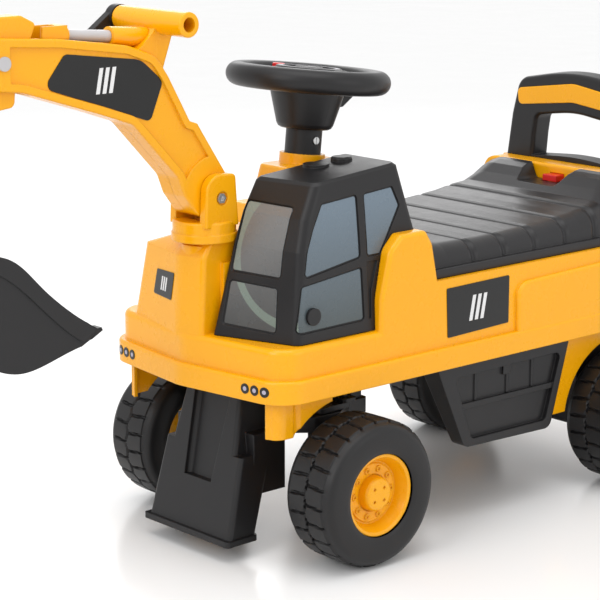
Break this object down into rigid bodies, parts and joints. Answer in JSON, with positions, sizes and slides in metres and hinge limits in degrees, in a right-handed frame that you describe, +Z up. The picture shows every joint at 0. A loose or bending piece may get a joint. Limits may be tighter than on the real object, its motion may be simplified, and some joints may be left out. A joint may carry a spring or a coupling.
{
  "type": "ride-on toy digger",
  "caption": "Foot-to-floor ride-on toy digger with a swinging hand-worked digger arm, steering wheel, side cab, storage seat and push handle.",
  "frame": {"origin": "on the ground under the middle of the whole object", "axes": "-Y is the front, where the digger arm is; +X is the driver's left, where the cab is; +Z is up"},
  "size_m": [0.2914, 0.768, 0.457],
  "materials": {
    "yellow_plastic": "amber yellow moulded plastic, glossy",
    "black_plastic": "black moulded plastic, fine satin texture",
    "seat_plastic": "dark grey moulded plastic with a soft sheen",
    "tyre_plastic": "black moulded plastic, satin",
    "window_sticker": "blue grey printed film",
    "black_decal": "black printed film",
    "lamp_sticker": "printed film with round lamps",
    "red_plastic": "red moulded plastic",
    "grey_plastic": "grey moulded plastic",
    "steel": "zinc plated"
  },
  "bodies": {
    "chassis": {"body_shell": "yellow_plastic", "floor_pan": "yellow_plastic", "body_screws": "steel", "cab_shell": "black_plastic", "cab_front_window": "window_sticker", "cab_side_windows": "window_sticker", "door_knob": "black_plastic", "front_stop_blade": "black_plastic", "headlamp_stickers": "lamp_sticker", "front_badge": "black_decal", "side_badge_left": "black_decal", "side_badge_right": "black_decal", "side_step_left": "black_plastic", "side_step_right": "black_plastic", "steering_beam": "black_plastic", "rear_axle_housing": "black_plastic", "rear_axle": "steel", "storage_bin": "black_plastic", "push_handle": "black_plastic", "handle_insert": "yellow_plastic", "lid_hinge_pin": "steel"},
    "seat": {"seat_lid": "seat_plastic"},
    "latch": {"seat_latch": "red_plastic"},
    "turntable": {"turret": "yellow_plastic", "turret_retainer": "steel", "boom_pivot_bolt": "steel"},
    "boom": {"boom_left_half": "yellow_plastic", "boom_right_half": "yellow_plastic", "boom_decal_left": "black_decal", "boom_decal_right": "black_decal", "boom_screws": "steel", "cylinder_barrel": "yellow_plastic", "grip_tube": "yellow_plastic", "dipper_pin": "grey_plastic"},
    "rod": {"cylinder_rod": "grey_plastic", "rod_knuckle": "yellow_plastic"},
    "lever": {"hand_lever": "black_plastic"},
    "dipper": {"dipper_arm": "yellow_plastic", "bucket_pin": "grey_plastic"},
    "scoop": {"bucket": "black_plastic"},
    "steering": {"steering_wheel": "black_plastic", "steering_hub": "black_plastic", "horn_panel": "black_plastic", "sound_module": "black_plastic", "column_tube": "black_plastic", "column_screw": "steel", "steering_rod": "steel"},
    "horn_left": {"horn_button_left": "black_plastic"},
    "horn_right": {"horn_button_right": "red_plastic"},
    "track_rod": {"tie_rod": "black_plastic"},
    "steer_left": {"knuckle_left": "black_plastic"},
    "steer_right": {"knuckle_right": "black_plastic"},
    "wheel_front_left": {"tyre_front_left": "tyre_plastic", "rim_front_left": "yellow_plastic"},
    "wheel_front_right": {"tyre_front_right": "tyre_plastic", "rim_front_right": "yellow_plastic"},
    "wheel_rear_left": {"tyre_rear_left": "tyre_plastic", "rim_rear_left": "yellow_plastic"},
    "wheel_rear_right": {"tyre_rear_right": "tyre_plastic", "rim_rear_right": "yellow_plastic"}
  },
  "joints": [
    {"name": "turret_swing", "type": "hinge", "parent": "chassis", "child": "turntable", "pos_m": [0, -0.1145, 0.262], "axis": [0, 0, 1], "range_deg": [-60, 60]},
    {"name": "boom_lift", "type": "hinge", "parent": "turntable", "child": "boom", "pos_m": [0, -0.1145, 0.2994], "axis": [1, 0, 0], "range_deg": [-22, 18]},
    {"name": "dipper_swing", "type": "hinge", "parent": "boom", "child": "dipper", "pos_m": [0, -0.316, 0.423], "axis": [1, 0, 0], "range_deg": [-20, 15]},
    {"name": "bucket_curl", "type": "hinge", "parent": "dipper", "child": "scoop", "pos_m": [0, -0.37, 0.3], "axis": [1, 0, 0], "range_deg": [-60, 8]},
    {"name": "rod_slide", "type": "slide", "parent": "boom", "child": "rod", "axis": [0, -0.9969, 0.0785], "range_m": [-0.00962, 0.00727]},
    {"name": "lever_pull", "type": "hinge", "parent": "boom", "child": "lever", "pos_m": [0, -0.1627, 0.444], "axis": [1, 0, 0], "range_deg": [-15.5, 20.5]},
    {"name": "steering_turn", "type": "hinge", "parent": "chassis", "child": "steering", "pos_m": [0, 0.0003, 0.386], "axis": [0, 0.1045, 0.9945], "range_deg": [-22, 22]},
    {"name": "tie_rod_slide", "type": "slide", "parent": "chassis", "child": "track_rod", "axis": [1, 0, 0], "range_m": [-0.01, 0.01]},
    {"name": "knuckle_left_turn", "type": "hinge", "parent": "chassis", "child": "steer_left", "pos_m": [0.07, -0.048, 0.11], "axis": [0, 0, 1], "range_deg": [-22.5, 22.5]},
    {"name": "knuckle_right_turn", "type": "hinge", "parent": "chassis", "child": "steer_right", "pos_m": [-0.07, -0.048, 0.11], "axis": [0, 0, 1], "range_deg": [-22.5, 22.5]},
    {"name": "wheel_front_left_spin", "type": "hinge", "parent": "steer_left", "child": "wheel_front_left", "pos_m": [0.1177, -0.048, 0.062], "axis": [1, 0, 0], "continuous": true},
    {"name": "wheel_front_right_spin", "type": "hinge", "parent": "steer_right", "child": "wheel_front_right", "pos_m": [-0.1177, -0.048, 0.062], "axis": [1, 0, 0], "continuous": true},
    {"name": "wheel_rear_left_spin", "type": "hinge", "parent": "chassis", "child": "wheel_rear_left", "pos_m": [0.1177, 0.294, 0.062], "axis": [1, 0, 0], "continuous": true},
    {"name": "wheel_rear_right_spin", "type": "hinge", "parent": "chassis", "child": "wheel_rear_right", "pos_m": [-0.1177, 0.294, 0.062], "axis": [1, 0, 0], "continuous": true},
    {"name": "horn_left_press", "type": "slide", "parent": "steering", "child": "horn_left", "axis": [0, -0.1045, -0.9945], "range_m": [0, 0.002], "stiffness_N_per_m": 300, "springref_m": -0.0005},
    {"name": "horn_right_press", "type": "slide", "parent": "steering", "child": "horn_right", "axis": [0, -0.1045, -0.9945], "range_m": [0, 0.002], "stiffness_N_per_m": 300, "springref_m": -0.0005},
    {"name": "latch_slide", "type": "slide", "parent": "chassis", "child": "latch", "axis": [0, 1, 0], "range_m": [0, 0.005], "stiffness_N_per_m": 200, "springref_m": -0.001},
    {"name": "lid_hinge", "type": "hinge", "parent": "chassis", "child": "seat", "pos_m": [0, 0.0533, 0.2425], "axis": [1, 0, 0], "range_deg": [0, 55]}
  ],
  "couplings": [
    {"joint": "rod_slide", "follows": "dipper_swing", "m_per_rad": 0.027},
    {"joint": "lever_pull", "follows": "dipper_swing", "ratio": -1},
    {"joint": "tie_rod_slide", "follows": "steering_turn", "m_per_rad": -0.0256},
    {"joint": "knuckle_left_turn", "follows": "steering_turn", "ratio": 1},
    {"joint": "knuckle_right_turn", "follows": "steering_turn", "ratio": 1}
  ]
}
